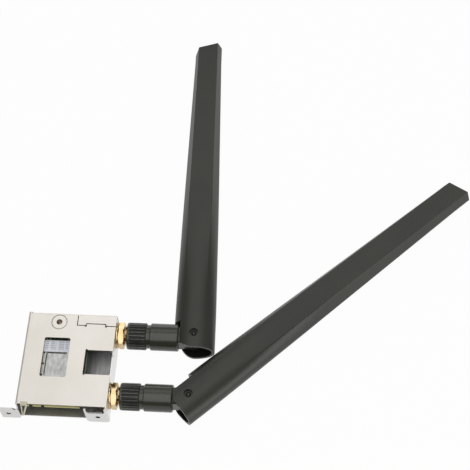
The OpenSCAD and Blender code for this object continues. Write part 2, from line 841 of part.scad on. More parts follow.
// Knurled coupling nut: plain front rim, straight ribs, closed back with a running bore
module coupling_nut() {
    back = ring_end + free_gap - coupling_x;
    color(black) translate([coupling_x, 0, 0]) rotate([0, 90, 0]) difference() {
        union() {
            cylinder(d = coupling_d, h = coupling_rim);
            translate([0, 0, coupling_rim - eps])
                linear_extrude(coupling_l - coupling_rim + eps) difference() {
                    circle(d = coupling_d);
                    for (i = [0 : rib_n - 1]) rotate(i * 360 / rib_n)
                        translate([coupling_d / 2 - rib_h, -rib_gap / 2]) square([over, rib_gap]);
                }
        }
        translate([0, 0, -over]) cylinder(d = thread_d + 2 * run_fit, h = back + over);
        translate([0, 0, -over])
            cylinder(d = neck_core_d + 2 * run_fit, h = coupling_l + 2 * over);
    }
}

// Plug body: nose in the jack's mouth, shoulder, groove for the ring, neck for the barrel
module plug_body() {
    groove_r = neck_core_d / 2 - ring_groove;
    color(brass) difference() {
        union() {
            along(mouth_x + slide_fit, thread_l + eps, nose_r);
            along(thread_l + fit, thread_l + shoulder_t, thread_d / 2 - slide_fit);
            along(thread_l + shoulder_t - eps, ring_end + run_fit, groove_r);
            along(ring_end + run_fit - eps, plug_end, neck_core_d / 2);
        }
        along(mouth_x, plug_end + over, plug_bore_r);
    }
}

module snap_ring() {
    color(steel) translate([ring_x, 0, 0]) rotate([0, 90, 0]) linear_extrude(ring_t) difference() {
        circle(d = thread_d - 2 * slide_fit);
        circle(d = neck_core_d - 2 * ring_groove + 2 * fit);
        translate([0, -ring_t]) square([thread_d, 2 * ring_t]);
    }
}

module plug_insulator() {
    color(white) difference() {
        along(mouth_x + slide_fit, plug_end - over, plug_bore_r - fit);
        along(mouth_x, plug_end, core_d / 2 + fit);
    }
}

// Contact: a bore takes the jack's pin, the other end meets the lead
module plug_contact() {
    color(gold) difference() {
        along(mouth_x + slide_fit, contact_end, core_d / 2);
        along(mouth_x, thread_l - free_gap, pin_tip_d / 2 + fit);
    }
}

// Barrel with the hinge tongue; it turns on the plug body
module barrel() {
    shell_l = barrel_end - shell_x;
    color(black) difference() {
        union() {
            along(barrel_x, shell_x + eps, neck_d / 2);
            translate([shell_x, 0, 0]) rotate([0, 90, 0]) rotate_extrude() polygon([
                [0, 0], [barrel_d / 2 - barrel_edge, 0], [barrel_d / 2, barrel_edge],
                [barrel_d / 2, shell_l - barrel_edge], [barrel_d / 2 - barrel_edge, shell_l],
                [0, shell_l]]);
            intersection() {
                along(barrel_end - over, hinge_x + tongue_across, tongue_round / 2);
                union() {
                    translate([barrel_end - eps, -tongue_across / 2, -tongue_t / 2])
                        cube([tongue_root + eps, tongue_across, tongue_t]);
                    translate([hinge_x, 0, -tongue_t / 2])
                        cylinder(d = tongue_across, h = tongue_t);
                }
            }
            translate([hinge_x, 0, -boss_z]) cylinder(r = boss_r, h = 2 * boss_z);
        }
        along(barrel_x - over, plug_end + free_gap, neck_core_d / 2 + run_fit);
        along(plug_end, plug_end + turn_l, turn_r);
        translate([0, lead_off, 0])
            along(plug_end, hinge_x + tongue_across, lead_d / 2 + run_fit);
        translate([hinge_x, 0, -boss_z - over])
            cylinder(d = pin_d + 2 * run_fit, h = 2 * (boss_z + over));
    }
}

// Lead from the plug's contact, through the barrel and beside the hinge pin
module barrel_lead() {
    end_x = hinge_x + tongue_across / 2 - lead_gap;
    color(pale) swept_tube([[contact_end + slide_fit, 0, 0], [contact_end + lead_straight, 0, 0],
        [contact_end + lead_bend / 2 + lead_straight / 2, lead_off / 2, 0],
        [contact_end + lead_bend + slide_fit, lead_off, 0],
        [(contact_end + end_x) / 2 + lead_step, lead_off, 0], [end_x, lead_off, 0]], lead_core_d);
}

// Paddle parts are drawn straight along +X from the hinge axis and turned about it
module at_hinge(fold) {
    translate([hinge_x, 0, 0]) rotate(fold) children();
}

function ramp(s, a, b) = min(1, max(0, (s - a) / (b - a)));
function half_width(s) = base_w / 2 - waist * ramp(s, flat_from / 2, taper_from)
    - (base_w / 2 - waist - tip_w / 2) * ramp(s, taper_from, paddle_l - tip_zone);
function half_thick(s) = base_t / 2 - (base_t - tip_t) / 2 * ramp(s, flat_from, paddle_l - tip_zone);
function bevel(s) = bevel_w - (bevel_w - bevel_tip_w) * ramp(s, flat_full, paddle_l - tip_zone);
// Directions of one quarter of the section: even at m = 0; at m = 1 the second and the fifth
// point to the ends of the bevel
function quarter(w, t, b, m) = let (low = atan(side_t / 2 / t), high = atan(w / (w - b)))
    [0, 15 + m * (low - 15), 30 + m * (low + (high - low) / 3 - 30),
        45 + m * (low + (high - low) * 2 / 3 - 45), 60 + m * (high - 60),
        75 + m * ((high + 90) / 2 - 75)];
// Reach of a direction to a rectangle of half sizes w and t with bevels of width b
function bevel_reach(c, s, w, t, b) = let (d = t - side_t / 2)
    min(1 / max(c, eps), 1 / max(s, eps), (w / b + t / d - 1) / (c * w / b + s * t / d));
// One quarter's points: an ellipse at m = 0, the bevelled rectangle at m = 1
function quarter_points(w, t, b, m) = [for (a = quarter(w, t, b, m))
    let (k = 1 - m + m * bevel_reach(cos(a), sin(a), w, t, b)) [k * w * cos(a), k * t * sin(a)]];
// Whole section, each next quarter turned half round or mirrored from the first
function section(w, t, b, m) = let (q = quarter_points(w, t, b, m), n = len(q), top = [0, t])
    concat(q, [top], [for (i = [n - 1 : -1 : 1]) [-q[i][0], q[i][1]]],
        [for (p = q) -p], [-top], [for (i = [n - 1 : -1 : 1]) [q[i][0], -q[i][1]]]);

// Skin of the paddle from one end to the other, set in by inset
module loft(start, end, inset) {
    stations = concat([start, 0, base_ring],
        [for (i = [0 : 3]) flat_from + i * (taper_from - flat_from) / 3],
        [for (i = [0 : 3]) flat_full + i * (paddle_l - last_ring - flat_full) / 4], [end]);
    rings = [for (s = stations) section(half_width(s) - inset, half_thick(s) - inset, bevel(s),
        ramp(s, flat_from, flat_full))];
    points = [for (i = [0 : len(stations) - 1], p = rings[i]) [stations[i], p[0], p[1]]];
    polyhedron(concat(points, [[start, 0, 0], [end, 0, 0]]),
        skin_faces(len(stations), len(rings[0])));
}

// Paddle: a hollow shell, open at the hinge end and slotted on the side towards the jacks
module paddle() {
    boss_h = base_t / 2 - boss_z - slide_fit;
    color(black) difference() {
        union() {
            difference() {
                loft(-edge_r, paddle_l, 0);
                loft(-edge_r - over, paddle_l - tip_wall, wall);
                tip_cut();
            }
            for (side = [0, 1]) mirror([0, 0, side]) intersection() {
                translate([0, 0, boss_z + slide_fit]) cylinder(r = boss_r, h = boss_h);
                loft(-edge_r, paddle_l, run_fit);
            }
        }
        // Slot for the tongue, open towards the jacks
        translate([-edge_r - over, 0, -tongue_t / 2 - slide_fit])
            cube([slot_end + edge_r + over, base_w, tongue_t + 2 * slide_fit]);
        // Edges set back round the axis, clear of the barrel's end
        difference() {
            translate([-edge_r - over, 0, -base_t])
                cube([edge_r + over + slot_end, base_w, 2 * base_t]);
            translate([0, 0, -base_t - over]) intersection() {
                cylinder(r = edge_r, h = 2 * (base_t + over));
                translate([-base_w, -base_w, 0]) cube([2 * base_w, base_w + cheek_n, 3 * base_t]);
            }
            translate([0, -over, -base_t - over])
                cube([slot_end + over, over + cheek_n, 2 * (base_t + over)]);
        }
        translate([0, 0, -base_t]) cylinder(d = pin_d + 2 * fit, h = 2 * base_t);
        for (side = [0, 1]) mirror([0, 0, side])
            translate([0, 0, base_t / 2 - counterbore_d])
                cylinder(r = counterbore_r, h = counterbore_d + over);
    }
}

// Everything past the slanted end with its chamfered corners
module tip_cut() {
    w = tip_w / 2;
    start = paddle_l - 2 * tip_zone;
    mid = paddle_l - tip_slant * tip_turn;
    difference() {
        translate([start, -base_w, -base_t]) cube([3 * tip_zone, 2 * base_w, 2 * base_t]);
        translate([0, 0, -base_t - over]) linear_extrude(2 * (base_t + over)) polygon([
            [start - over, -w - over], [paddle_l - tip_corner, -w], [paddle_l, tip_step - w],
            [mid, w - tip_step], [mid - tip_chamfer, w], [start - over, w + over]]);
    }
}

// Rivet pin with domed ends
module hinge_pin() {
    side_z = pin_end - pin_dome_r + sqrt(pin_dome_r ^ 2 - pin_d ^ 2 / 4);
    color(steel) union() {
        translate([0, 0, -side_z]) cylinder(d = pin_d, h = 2 * side_z);
        for (side = [0, 1]) mirror([0, 0, side]) intersection() {
            translate([0, 0, pin_end - pin_dome_r]) sphere(pin_dome_r);
            translate([0, 0, side_z - eps]) cylinder(d = pin_d, h = over);
        }
    }
}

module radiator() {
    color(copper_board) translate([board_start, -board_w / 2, -board_t / 2])
        cube([paddle_l - board_start - board_end, board_w, board_t]);
}

// Lead from the hinge to the radiator board
module paddle_lead() {
    start = tongue_across / 2 + lead_gap;
    color(pale) swept_tube([[start, lead_side, 0], [start + lead_step, lead_side, slide_fit],
        [board_start - 0.6 * lead_step, lead_side + slide_fit, lead_z],
        [board_start + 3 * lead_step, lead_side + 2 * slide_fit, lead_z],
        [board_start + lead_reach, 0, lead_z]], lead_core_d);
}

cover();
tray();
clinch_nut();
card_screw();
ground_spring();
card_board();
edge_contacts();
shield_can();
radio_chip();
card_label();
card_parts();
receptacle(1);  // receptacle_rear
receptacle(-1);  // receptacle_front
pigtail_plug(1);  // pigtail_plug_rear
pigtail_plug(-1);  // pigtail_plug_front
pigtail(pigtail_rear_route);  // pigtail_rear
pigtail(pigtail_front_route);  // pigtail_front

for (side = [["_rear", rear_y, fold_rear], ["_front", front_y, fold_front]]) on_wall(side[1]) {
    jack();
    jack_insulator();
    jack_pin();
    crimp_sleeve();
    lock_washer();
    hex_nut();
    coupling_nut();
    plug_body();
    snap_ring();
    plug_insulator();
    plug_contact();
    barrel();
    barrel_lead();
    at_hinge(side[2]) hinge_pin();
    at_hinge(side[2]) paddle();
    at_hinge(side[2]) radiator();
    at_hinge(side[2]) paddle_lead();
}
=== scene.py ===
# %% [markdown]
# A wireless card module: a folded sheet-metal cage, a card that shows through a window,
# two gold-plated jacks and two black paddle antennas. Its real sizes come from the packed
# frame, so this lesson is about surfaces: what each piece is made of, and how a few nodes
# or a small mesh can say so. Each cell does one thing and prints what it made.

# %% Load the frame
import json
import math

import bmesh
import bpy
from mathutils import Matrix, Vector

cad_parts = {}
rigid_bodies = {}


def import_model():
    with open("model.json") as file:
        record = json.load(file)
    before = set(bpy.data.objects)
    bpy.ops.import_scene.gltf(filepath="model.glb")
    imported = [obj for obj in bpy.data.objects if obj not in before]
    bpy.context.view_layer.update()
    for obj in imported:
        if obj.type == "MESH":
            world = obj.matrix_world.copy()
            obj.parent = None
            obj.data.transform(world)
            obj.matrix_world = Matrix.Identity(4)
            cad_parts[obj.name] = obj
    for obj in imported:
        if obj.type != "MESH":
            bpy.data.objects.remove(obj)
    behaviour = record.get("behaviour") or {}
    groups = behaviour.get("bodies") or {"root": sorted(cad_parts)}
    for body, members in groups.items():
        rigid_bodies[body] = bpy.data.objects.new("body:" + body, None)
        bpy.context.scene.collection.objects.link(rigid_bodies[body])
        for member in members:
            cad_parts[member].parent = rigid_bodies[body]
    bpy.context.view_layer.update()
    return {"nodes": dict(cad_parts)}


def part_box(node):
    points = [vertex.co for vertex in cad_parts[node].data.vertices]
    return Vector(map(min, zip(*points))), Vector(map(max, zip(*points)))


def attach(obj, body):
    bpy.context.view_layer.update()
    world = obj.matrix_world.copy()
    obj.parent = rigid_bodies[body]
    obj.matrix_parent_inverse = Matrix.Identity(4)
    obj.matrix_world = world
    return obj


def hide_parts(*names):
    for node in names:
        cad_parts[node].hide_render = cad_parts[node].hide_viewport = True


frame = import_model()
MM = 0.001
SIDES = ("rear", "front")

# %% [markdown]
# The picture was taken from above and a little to the right, with a long lens. The camera's
# place was found by matching the cage's corners, the window, the hinge pins and the
# antennas' tips. It is given as a place, a view direction and a roll.

# %% Camera
CAMERA_AT = Vector((0.08542, -0.17315, 0.40144))
CAMERA_BACK = Vector((0.069882, -0.495345, 0.865881))
CAMERA_RIGHT = Vector((0.996969, 0.064424, -0.043606))
FOCAL_PX = 1270.0
PHOTO_PX = 470
SENSOR_MM = 36.0


def add_camera():
    data = bpy.data.cameras.new("camera")
    data.sensor_width = SENSOR_MM
    data.lens = FOCAL_PX / PHOTO_PX * SENSOR_MM
    data.clip_start = 0.01
    camera = bpy.data.objects.new("camera", data)
    up = CAMERA_BACK.cross(CAMERA_RIGHT)
    turn = Matrix((CAMERA_RIGHT, up, CAMERA_BACK)).transposed().to_4x4()
    camera.matrix_world = Matrix.Translation(CAMERA_AT) @ turn
    bpy.context.collection.objects.link(camera)
    bpy.context.scene.camera = camera
    return camera


camera = add_camera()
print("camera lens in mm:", round(camera.data.lens, 1))

# %% [markdown]
# Shiny parts show their surroundings, so the light is planned for its reflections. A wide lamp
# high in front gives each black cylinder its bright band, a dimmer one at the back fills the
# flat sheet, a low one behind lights the rear facets of the nuts, and a low one at the right
# the long bevels of the antennas. They could be one dome, but then the gold would have
# nothing dark to show between the lamps.

# %% Lamps
def add_lamp(name, place, aim, size, glow):
    """A soft rectangle that shines with the given brightness, so its watts follow its size."""
    data = bpy.data.lights.new(name, "AREA")
    data.shape = "RECTANGLE"
    data.size, data.size_y = size
    data.energy = glow * math.pi * size[0] * size[1]
    lamp = bpy.data.objects.new(name, data)
    lamp.location = place
    direction = Vector(aim) - Vector(place)
    lamp.rotation_euler = direction.to_track_quat("-Z", "Y").to_euler()
    bpy.context.collection.objects.link(lamp)
    return lamp


lamps = [
    add_lamp("softbox_front", (0.05, -0.30, 0.80), (0.05, 0.0, 0.0), (0.55, 1.10), 1.85),
    add_lamp("softbox_back", (0.0, 0.46, 0.68), (0.02, 0.02, 0.0), (0.9, 0.42), 0.95),
    add_lamp("softbox_far", (0.0, 0.85, 0.14), (0.0, 0.0, 0.02), (1.0, 0.26), 1.5),
    add_lamp("softbox_right", (0.74, -0.43, 0.18), (0.08, 0.03, 0.0), (0.8, 0.36), 3.0),
]
print("lamps in watts:", [round(lamp.data.energy, 2) for lamp in lamps])

# %% [markdown]
# The world is the room behind the lamps. It is dim towards the front, where a photographer
# stands, and paler towards the back wall. One ramp along its Y direction says that.

# %% World
ROOM_FRONT, ROOM_BACK = 0.05, 0.36
RAMP_START, RAMP_END = -0.7, 0.5


def set_world():
    world = bpy.data.worlds.new("studio")
    bpy.context.scene.world = world
    world.use_nodes = True
    nodes, links = world.node_tree.nodes, world.node_tree.links
    coordinate = nodes.new("ShaderNodeTexCoord")
    split = nodes.new("ShaderNodeSeparateXYZ")
    links.new(coordinate.outputs["Generated"], split.inputs[0])
    shift = nodes.new("ShaderNodeMapRange")
    shift.inputs["From Min"].default_value = RAMP_START
    shift.inputs["From Max"].default_value = RAMP_END
    links.new(split.outputs["Y"], shift.inputs["Value"])
    ramp = nodes.new("ShaderNodeValToRGB")
    ramp.color_ramp.elements[0].color = (ROOM_FRONT, ROOM_FRONT, ROOM_FRONT, 1)
    ramp.color_ramp.elements[1].color = (ROOM_BACK, ROOM_BACK, ROOM_BACK, 1)
    links.new(shift.outputs["Result"], ramp.inputs["Fac"])
    links.new(ramp.outputs["Color"], nodes["Background"].inputs["Color"])
    return world


set_world()
bpy.context.scene.view_settings.view_transform = "Standard"
print("room brightness, front and back:", ROOM_FRONT, ROOM_BACK)

# %% [markdown]
# The object stands on a white sheet. A plain white floor would come out grey, so what the
# camera and the shiny parts see is mixed with a white glow. The rest stays an ordinary matt
# floor, which keeps the soft shadow and doesn't light the object any more than paper would.

# %% Floor
FLOOR_HALF = 3.0
FLOOR_DROP = 0.0002
FLOOR_GLOW = 0.97
PAPER_WHITE = (0.60, 0.60, 0.59)


def white_paper():
    material = bpy.data.materials.new("floor_white")
    material.use_nodes = True
    nodes, links = material.node_tree.nodes, material.node_tree.links
    shader = nodes["Principled BSDF"]
    shader.inputs["Base Color"].default_value = (*PAPER_WHITE, 1)
    shader.inputs["Roughness"].default_value = 0.9
    glow = nodes.new("ShaderNodeEmission")
    path = nodes.new("ShaderNodeLightPath")
    share = path.outputs["Is Camera Ray"]
    for ray in ("Is Glossy Ray", "Is Transmission Ray"):
        either = nodes.new("ShaderNodeMath")
        either.operation = "MAXIMUM"
        links.new(share, either.inputs[0])
        links.new(path.outputs[ray], either.inputs[1])
        share = either.outputs[0]
    scaled = nodes.new("ShaderNodeMath")
    scaled.operation = "MULTIPLY"
    scaled.inputs[1].default_value = FLOOR_GLOW
    links.new(share, scaled.inputs[0])
    mix = nodes.new("ShaderNodeMixShader")
    links.new(scaled.outputs[0], mix.inputs["Fac"])
    links.new(shader.outputs[0], mix.inputs[1])
    links.new(glow.outputs[0], mix.inputs[2])
    links.new(mix.outputs[0], nodes["Material Output"].inputs["Surface"])
    return material


def add_floor():
    mesh = bpy.data.meshes.new("floor")
    far = FLOOR_HALF
    mesh.from_pydata([(-far, -far, 0), (far, -far, 0), (far, far, 0), (-far, far, 0)],
                     [], [(0, 1, 2, 3)])
    mesh.materials.append(white_paper())
    floor = bpy.data.objects.new("floor", mesh)
    floor.location.z = -FLOOR_DROP
    bpy.context.collection.objects.link(floor)
    return floor


floor = add_floor()
print("floor level in mm:", round(floor.location.z / MM, 2))

# %% [markdown]
# Every finish below is built from the same few nodes: object coordinates, a noise stretched
# along one axis for brushing or left even for grain, a colour ramp for slight variation, and
# a bump. Writing those once keeps each finish down to the numbers that matter.

# %% A finish, step by step
class Finish:
    """A Principled material with short ways to add noise, colour variation and bump."""

    def __init__(self, name, colour, metallic=0.0, roughness=0.5):
        self.material = bpy.data.materials.new(name)
        self.material.use_nodes = True
        self.nodes = self.material.node_tree.nodes
        self.links = self.material.node_tree.links
        self.shader = self.nodes["Principled BSDF"]
        self.shader.inputs["Base Color"].default_value = (*colour, 1)
        self.shader.inputs["Metallic"].default_value = metallic
        self.shader.inputs["Roughness"].default_value = roughness
        self.coordinate = self.nodes.new("ShaderNodeTexCoord")
        self.normal = None

    def noise(self, scale, stretch=(1, 1, 1), detail=4.0):
        mapping = self.nodes.new("ShaderNodeMapping")
        mapping.inputs["Scale"].default_value = [scale * s for s in stretch]
        self.links.new(self.coordinate.outputs["Object"], mapping.inputs["Vector"])
        texture = self.nodes.new("ShaderNodeTexNoise")
        texture.inputs["Scale"].default_value = 1.0
        texture.inputs["Detail"].default_value = detail
        self.links.new(mapping.outputs["Vector"], texture.inputs["Vector"])
        return texture.outputs["Fac"]

    def axis(self, letter):
        """One object coordinate in metres."""
        split = self.nodes.new("ShaderNodeSeparateXYZ")
        self.links.new(self.coordinate.outputs["Object"], split.inputs[0])
        return split.outputs[letter]

    def math(self, operation, a, b=0.0, c=None):
        node = self.nodes.new("ShaderNodeMath")
        node.operation = operation
        for value, socket in zip((a, b, c), node.inputs):
            if isinstance(value, (int, float)):
                socket.default_value = value
            elif value is not None:
                self.links.new(value, socket)
        return node.outputs[0]

    def ramp(self, value, low, high, start=0.3, end=0.7):
        ramp = self.nodes.new("ShaderNodeValToRGB")
        ramp.color_ramp.elements[0].position = start
        ramp.color_ramp.elements[0].color = (*low, 1)
        ramp.color_ramp.elements[1].position = end
        ramp.color_ramp.elements[1].color = (*high, 1)
        self.links.new(value, ramp.inputs["Fac"])
        return ramp.outputs["Color"]

    def colour(self, value, low, high, start=0.3, end=0.7):
        self.links.new(self.ramp(value, low, high, start, end), self.shader.inputs["Base Color"])
        return self

    def shade(self, mask, tint, blend="MULTIPLY"):
        """Tints the base colour where mask is 1, for real marks and for painted shade and light."""
        socket = self.shader.inputs["Base Color"]
        mix = self.nodes.new("ShaderNodeMix")
        mix.data_type = "RGBA"
        mix.blend_type = blend
        if socket.is_linked:
            self.links.new(socket.links[0].from_socket, mix.inputs["A"])
        else:
            mix.inputs["A"].default_value = socket.default_value
        mix.inputs["B"].default_value = (*tint, 1)
        self.links.new(mask, mix.inputs["Factor"])
        self.links.new(mix.outputs["Result"], socket)
        return self

    def roughness(self, value, low, high):
        spread = self.nodes.new("ShaderNodeMapRange")
        spread.inputs["To Min"].default_value = low
        spread.inputs["To Max"].default_value = high
        self.links.new(value, spread.inputs["Value"])
        self.links.new(spread.outputs["Result"], self.shader.inputs["Roughness"])
        return self

    def bump(self, value, height_mm, strength=1.0):
        bump = self.nodes.new("ShaderNodeBump")
        bump.inputs["Strength"].default_value = strength
        bump.inputs["Distance"].default_value = height_mm * MM
        self.links.new(value, bump.inputs["Height"])
        if self.normal:
            self.links.new(self.normal, bump.inputs["Normal"])
        self.normal = bump.outputs["Normal"]
        self.links.new(self.normal, self.shader.inputs["Normal"])
        return self


def dress(material, *names):
    """Gives CAD nodes a finish."""
    for name in names:
        slots = frame["nodes"][name].data.materials
        slots.clear()
        slots.append(material)


def both(*names):
    return [f"{name}_{side}" for name in names for side in SIDES]


print("helpers ready for", len(frame["nodes"]), "nodes")

# %% [markdown]
# The cage is folded from nickel-plated steel: a warm, satin metal that mirrors nothing clearly.
# It could be painted grey, but then the inside would be as pale as the outside. As a metal it
# is bright where it faces the lamps and dark where it faces its own inside, as in the picture.
# A noise stretched along Y stands for the rolling marks. The sheared edges of the plate's
# openings are bare and dull, and a mask by height also paints them near black, the shade
# that falls in the seams and openings. Another mask paints shade in the bores of the ears'
# holes, and the ears' front faces get painted shade too. The tray's floor is rubbed rougher
# beside the notch, with painted shade growing darker towards the inside, and everything below
# the plate gets painted light, lighter and cooler.

# %% Plated sheet
def between(finish, letter, low_mm, high_mm):
    """1 where an object coordinate lies between two values."""
    value = finish.axis(letter)
    return finish.math("MULTIPLY", finish.math("GREATER_THAN", value, low_mm * MM),
                       finish.math("LESS_THAN", value, high_mm * MM))


def inside(finish, x, y):
    """1 where the object's X and Y in mm lie within two pairs of limits."""
    return finish.math("MULTIPLY", between(finish, "X", *x), between(finish, "Y", *y))


def distance(finish, a, b):
    squares = finish.math("ADD", finish.math("MULTIPLY", a, a), finish.math("MULTIPLY", b, b))
    return finish.math("SQRT", squares)


# Where the marks lie on the sheet, in mm
FLOOR_Z = (-1.0, 1.0)
RUBBED_X, RUBBED_Y = (3.0, 15.2), (-6.0, 16.5)
EDGES_X, EDGES_Y, EDGES_Z = (-14.6, 14.6), (-17.2, 16.2), (10.31, 10.77)
BELOW_PLATE = 9.5
EAR_Y = (-18.2, -17.4)
EAR_HOLES_X, EAR_HOLE_Y, EAR_HOLE_Z, EAR_HOLE_R = (-18.5, 11.9), (-18.08, -17.62), 4.2, 0.83


def rub_floor_and_paint_shade(finish, rubbed):
    """Fine scratches where rubbed is 1, and painted shade darker towards the inside of the cage."""
    scrub = finish.noise(420, stretch=(6, 0.25, 1), detail=4.0)
    finish.bump(finish.math("MULTIPLY", scrub, rubbed), 0.03, 0.6)
    scratch = finish.math("LESS_THAN", scrub, 0.47)
    finish.shade(finish.math("MULTIPLY", rubbed, scratch), (0.80, 0.81, 0.82))
    # Painted shade: darker towards the back and left of the floor, inside the cage.
    depth = finish.math("MULTIPLY_ADD", finish.axis("X"), -0.6, finish.axis("Y"))
    depth = finish.math("DIVIDE", finish.math("ADD", depth, 6 * MM), 9 * MM)
    finish.shade(finish.math("MULTIPLY", rubbed, depth), (0.26, 0.27, 0.28))


def paint_ear_hole_shade(finish, x_mm):
    # Painted shade in the bore of an ear's hole.
    x = finish.math("SUBTRACT", finish.axis("X"), x_mm * MM)
    z = finish.math("SUBTRACT", finish.axis("Z"), EAR_HOLE_Z * MM)
    near = finish.math("LESS_THAN", distance(finish, x, z), EAR_HOLE_R * MM)
    finish.shade(finish.math("MULTIPLY", near, between(finish, "Y", *EAR_HOLE_Y)), (0.10, 0.09, 0.08))


def plated_sheet(name, low, high, rough_low, rough_high, marks_mm):
    finish = Finish(name, low, metallic=1.0)
    finish.colour(finish.noise(70, detail=2.0), low, high)
    rolling = finish.noise(300, stretch=(5, 0.4, 5), detail=5.0)
    rubbed = finish.math("MULTIPLY", inside(finish, RUBBED_X, RUBBED_Y), between(finish, "Z", *FLOOR_Z))
    finish.roughness(finish.math("MULTIPLY_ADD", rubbed, 0.9, rolling), rough_low, rough_high)
    finish.bump(rolling, marks_mm, 0.5)
    rub_floor_and_paint_shade(finish, rubbed)
    # Painted light: everything below the plate is made lighter and cooler.
    finish.shade(finish.math("LESS_THAN", finish.axis("Z"), BELOW_PLATE * MM), (1.04, 1.08, 1.15))
    # Painted shade on the ears' front faces.
    finish.shade(between(finish, "Y", *EAR_Y), (0.84, 0.84, 0.84))
    shine = finish.math("MULTIPLY_ADD", rubbed, -0.92, 1.0)
    finish.links.new(shine, finish.shader.inputs["Metallic"])
    finish.bump(finish.noise(45, detail=1.0), 0.05, 0.25)
    # Painted shade: the sheared edges and seams of the plate's openings are darkened near black.
    cut = finish.math("MULTIPLY", inside(finish, EDGES_X, EDGES_Y), between(finish, "Z", *EDGES_Z))
    finish.shade(cut, (0.09, 0.085, 0.07))
    for x_mm in EAR_HOLES_X:
        paint_ear_hole_shade(finish, x_mm)
    return finish.material


def bright_steel():
    finish = Finish("bright_steel", (0.80, 0.79, 0.75), metallic=1.0, roughness=0.24)
    turning = finish.noise(900, detail=3.0)
    finish.roughness(turning, 0.16, 0.32)
    finish.bump(turning, 0.003, 0.4)
    return finish.material


NICKEL_LOW, NICKEL_HIGH = (0.735, 0.695, 0.635), (0.785, 0.75, 0.70)
cover_plating = plated_sheet("plated_sheet", NICKEL_LOW, NICKEL_HIGH, 0.30, 0.44, 0.004)
tray_plating = plated_sheet("plated_tray", (0.725, 0.69, 0.635), (0.795, 0.765, 0.715),
                            0.30, 0.46, 0.006)
steel = bright_steel()
dress(cover_plating, "cover")
dress(tray_plating, "tray")
dress(steel, "card_screw", *both("snap_ring"))
print("sheet dressed with", cover_plating.name, "and", tray_plating.name)

# %% [markdown]
# The clinch nut is pressed into the plate. Its knurled rim bites into the sheet and leaves a
# line of small gaps round it, and its hole is threaded. Both are too small to model in full, so
# two masks by the distance from the nut's own axis paint shade on the plating there: a dotted
# dark ring for the gaps and dark brown for the hole.

# %% Clinch nut's finish
def clinch_plating(centre, hole_mm=1.02, rim_mm=2.56, teeth=30):
    finish = Finish("clinch_plating", (0.76, 0.72, 0.66), metallic=1.0, roughness=0.34)
    finish.colour(finish.noise(500), NICKEL_LOW, NICKEL_HIGH)
    x = finish.math("SUBTRACT", finish.axis("X"), centre[0])
    y = finish.math("SUBTRACT", finish.axis("Y"), centre[1])
    radius = distance(finish, x, y)
    angle = finish.math("ARCTAN2", y, x)
    tooth = finish.math("SINE", finish.math("MULTIPLY", angle, float(teeth)))
    edge = finish.math("MULTIPLY_ADD", tooth, 0.16 * MM, rim_mm * MM)
    # Painted shade: a dotted dark ring in the knurl's gaps.
    outside = finish.math("GREATER_THAN", radius, edge)
    finish.shade(outside, (0.12, 0.10, 0.08))
    # Painted shade: dark brown in the threaded hole.
    finish.shade(finish.math("LESS_THAN", radius, hole_mm * MM), (0.16, 0.10, 0.06))
    finish.bump(finish.noise(900), 0.003, 0.4)
    return finish.material


low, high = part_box("clinch_nut")
nut_centre = [(a + b) / 2 for a, b in zip(low, high)]
dress(clinch_plating(nut_centre), "clinch_nut")
print("clinch nut's axis in mm:", [round(v / MM, 2) for v in nut_centre[:2]])

# %% [markdown]
# The shield can on the card is thin tinned plate, greyer than the cage and finely streaked. It
# could share the cage's finish, but its streaks are what shows it as another sheet. A mask
# paints shade along two sides of the step round its pressed field.

# %% Shield can
def tinned_can():
    finish = Finish("can_metal", (0.60, 0.60, 0.57), metallic=1.0)
    streaks = finish.noise(520, stretch=(2.2, 0.8, 1), detail=6.0)
    finish.colour(streaks, (0.32, 0.325, 0.315), (0.66, 0.66, 0.64), 0.25, 0.75)
    finish.roughness(streaks, 0.30, 0.46)
    finish.bump(streaks, 0.004, 0.5)
    finish.bump(finish.noise(150, detail=1.0), 0.04, 0.4)
    # Painted shade along the left and top sides of the pressed field's step.
    left = inside(finish, (-7.55, -7.15), (-5.8, 2.7))
    top = inside(finish, (-7.5, -0.4), (2.3, 2.75))
    finish.shade(finish.math("MAXIMUM", left, top), (0.32, 0.32, 0.30))
    return finish.material


dress(tinned_can(), "shield_can")
print("shield can dressed")

# %% [markdown]
# The card is a fibreglass board under dark green lacquer, with copper runs that show as
# paler, slightly raised lines. A fine wave cut by a noise makes such runs without a picture.
# The contact edge is bare, yellowish laminate. The label is matt paper with a few pale bars
# and no words.

# %% Card and label
TONGUE_Y = -14.3
RUNS_PER_M = 5200.0


def laminate():
    finish = Finish("board", (0.03, 0.06, 0.03), roughness=0.35)
    run = finish.math("SINE", finish.math("MULTIPLY", finish.axis("X"), RUNS_PER_M))
    turn = finish.math("GREATER_THAN", finish.noise(260, detail=1.0), 0.52)
    runs = finish.math("MULTIPLY", finish.math("GREATER_THAN", run, 0.25), turn)
    finish.colour(runs, (0.020, 0.048, 0.026), (0.055, 0.110, 0.050), 0.0, 1.0)
    finish.roughness(finish.noise(1200), 0.25, 0.45)
    finish.bump(runs, 0.02, 0.6)
    bare = finish.math("LESS_THAN", finish.axis("Y"), TONGUE_Y * MM)
    finish.shade(bare, (0.62, 0.58, 0.22), "MIX")
    return finish.material


